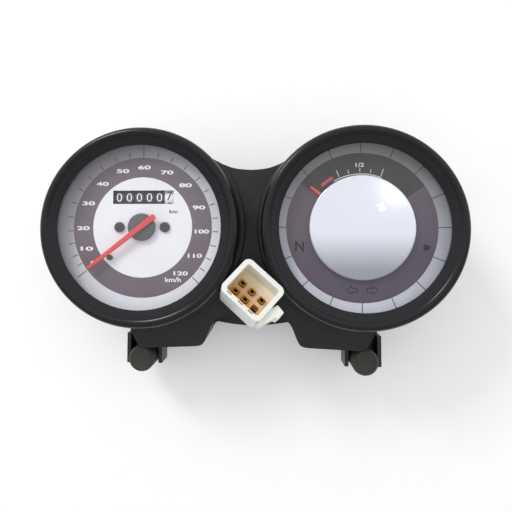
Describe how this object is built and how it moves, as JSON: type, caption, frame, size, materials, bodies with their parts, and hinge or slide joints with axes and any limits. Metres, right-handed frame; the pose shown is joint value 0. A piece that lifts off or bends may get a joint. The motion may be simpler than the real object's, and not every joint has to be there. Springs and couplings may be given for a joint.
{
  "type": "motorcycle instrument cluster",
  "caption": "Twin-dial motorcycle instrument cluster: cable speedometer with drum odometer, fuel gauge with tell-tales, black case, rubber-damped legs and a wired white connector.",
  "frame": {"origin": "on the table under the middle of the cluster, lying on its back, measured without the harness and its connector", "axes": "+X to the rider's right across both dials, +Y to the dials' 12 o'clock, +Z out of the dials"},
  "size_m": [0.2038, 0.1244, 0.0712],
  "materials": {
    "case_plastic": "moulded black plastic with a fine grain",
    "bezel_plastic": "smooth satin black",
    "lens": "clear, glossy",
    "housing_plastic": "white reflector plastic",
    "speed_dial": "printed white, purple-grey and silver-grey rings",
    "fuel_dial": "smoked purple-grey and silver rings",
    "centre_disc": "glossy silver-white",
    "needle_red": "coral red",
    "hub_grey": "satin dark grey",
    "dark_screw": "black, cross recess",
    "frame_metal": "die-cast, dull",
    "magnet_steel": "ground",
    "cup_aluminium": "bright",
    "spring_bronze": "phosphor bronze",
    "gear_nylon": "natural nylon",
    "axle_steel": "drawn",
    "drum_black": "black with white figures",
    "drum_white": "white with black figures",
    "movement_plastic": "black",
    "leg_steel": "pressed steel, black paint",
    "rubber": "matt black",
    "zinc_steel": "zinc plated",
    "bulb_glass": "clear",
    "sleeve_pvc": "black PVC sleeve",
    "connector_nylon": "natural ivory nylon",
    "terminal_brass": "bare brass"
  },
  "bodies": {
    "case": {"front_case": "case_plastic", "rear_cover": "case_plastic", "left_bezel": "bezel_plastic", "left_lens": "lens", "left_gauge_housing": "housing_plastic", "left_mount_leg": "leg_steel", "left_damper": "rubber", "left_stud": "zinc_steel", "left_leg_screw": "zinc_steel", "right_bezel": "bezel_plastic", "right_lens": "lens", "right_gauge_housing": "housing_plastic", "right_mount_leg": "leg_steel", "right_damper": "rubber", "right_stud": "zinc_steel", "right_leg_screw": "zinc_steel", "speedometer_lamp_holder": "rubber", "speedometer_lamp_bulb": "bulb_glass", "fuel_lamp_holder": "rubber", "fuel_lamp_bulb": "bulb_glass", "neutral_lamp_holder": "rubber", "neutral_lamp_bulb": "bulb_glass", "beam_lamp_holder": "rubber", "beam_lamp_bulb": "bulb_glass", "turn_lamp_holder": "rubber", "turn_lamp_bulb": "bulb_glass", "speedometer_dial": "speed_dial", "needle_stop_pin": "hub_grey", "dial_screw_1": "dark_screw", "dial_screw_2": "dark_screw", "movement_frame": "frame_metal", "hairspring": "spring_bronze", "odometer_axle": "axle_steel", "fuel_dial": "fuel_dial", "centre_disc": "centre_disc", "fuel_movement": "movement_plastic", "cover_screw_1": "zinc_steel", "cover_screw_2": "zinc_steel", "harness_grommet": "rubber", "harness": "sleeve_pvc", "connector_housing": "connector_nylon", "terminal_1": "terminal_brass", "terminal_2": "terminal_brass", "terminal_3": "terminal_brass", "terminal_4": "terminal_brass", "terminal_5": "terminal_brass"},
    "speed_pointer": {"speed_needle": "needle_red", "needle_hub": "hub_grey", "drag_cup": "cup_aluminium"},
    "drive_magnet": {"magnet_shaft": "magnet_steel"},
    "cross_gear": {"cross_shaft": "gear_nylon"},
    "link_gear": {"link_shaft": "gear_nylon"},
    "fuel_pointer": {"fuel_needle": "needle_red"},
    "drum_1": {"odometer_drum_1": "drum_black"},
    "drum_2": {"odometer_drum_2": "drum_black"},
    "drum_3": {"odometer_drum_3": "drum_black"},
    "drum_4": {"odometer_drum_4": "drum_black"},
    "drum_5": {"odometer_drum_5": "drum_black"},
    "drum_6": {"odometer_drum_6": "drum_white"}
  },
  "joints": [
    {"name": "speed_needle_turn", "type": "hinge", "parent": "case", "child": "speed_pointer", "pos_m": [-0.0535, 0.01385, 0.0555], "axis": [0, 0, -1], "range_deg": [0, 262], "stiffness_Nm_per_rad": 0.00006, "springref_deg": -17.19},
    {"name": "cable_drive_spin", "type": "hinge", "parent": "case", "child": "drive_magnet", "pos_m": [-0.0535, 0.01385, 0.018], "axis": [0, 0, 1], "continuous": true},
    {"name": "cross_gear_spin", "type": "hinge", "parent": "case", "child": "cross_gear", "pos_m": [-0.0466, 0.01685, 0.0186], "axis": [0, 1, 0], "continuous": true},
    {"name": "link_gear_spin", "type": "hinge", "parent": "case", "child": "link_gear", "pos_m": [-0.0363, 0.02025, 0.03], "axis": [0, 0, 1], "continuous": true},
    {"name": "odometer_drum_6_spin", "type": "hinge", "parent": "case", "child": "drum_6", "pos_m": [-0.0407, 0.02855, 0.04155], "axis": [-1, 0, 0], "continuous": true},
    {"name": "odometer_drum_5_spin", "type": "hinge", "parent": "case", "child": "drum_5", "pos_m": [-0.0457, 0.02855, 0.04155], "axis": [-1, 0, 0], "continuous": true},
    {"name": "odometer_drum_4_spin", "type": "hinge", "parent": "case", "child": "drum_4", "pos_m": [-0.0507, 0.02855, 0.04155], "axis": [-1, 0, 0], "continuous": true},
    {"name": "odometer_drum_3_spin", "type": "hinge", "parent": "case", "child": "drum_3", "pos_m": [-0.0557, 0.02855, 0.04155], "axis": [-1, 0, 0], "continuous": true},
    {"name": "odometer_drum_2_spin", "type": "hinge", "parent": "case", "child": "drum_2", "pos_m": [-0.0607, 0.02855, 0.04155], "axis": [-1, 0, 0], "continuous": true},
    {"name": "odometer_drum_1_spin", "type": "hinge", "parent": "case", "child": "drum_1", "pos_m": [-0.0657, 0.02855, 0.04155], "axis": [-1, 0, 0], "continuous": true},
    {"name": "fuel_needle_turn", "type": "hinge", "parent": "case", "child": "fuel_pointer", "pos_m": [0.0535, 0.01385, 0.0527], "axis": [0, 0, -1], "range_deg": [0, 100], "stiffness_Nm_per_rad": 0.00002, "springref_deg": -11.46}
  ],
  "couplings": [
    {"joint": "cross_gear_spin", "follows": "cable_drive_spin", "ratio": 0.1},
    {"joint": "link_gear_spin", "follows": "cable_drive_spin", "ratio": 0.0071429},
    {"joint": "odometer_drum_6_spin", "follows": "cable_drive_spin", "ratio": 0.00071429},
    {"joint": "odometer_drum_5_spin", "follows": "cable_drive_spin", "ratio": 0.000071429},
    {"joint": "odometer_drum_4_spin", "follows": "cable_drive_spin", "ratio": 0.0000071429},
    {"joint": "odometer_drum_3_spin", "follows": "cable_drive_spin", "ratio": 0.00000071429},
    {"joint": "odometer_drum_2_spin", "follows": "cable_drive_spin", "ratio": 0.000000071429},
    {"joint": "odometer_drum_1_spin", "follows": "cable_drive_spin", "ratio": 0.0000000071429}
  ]
}
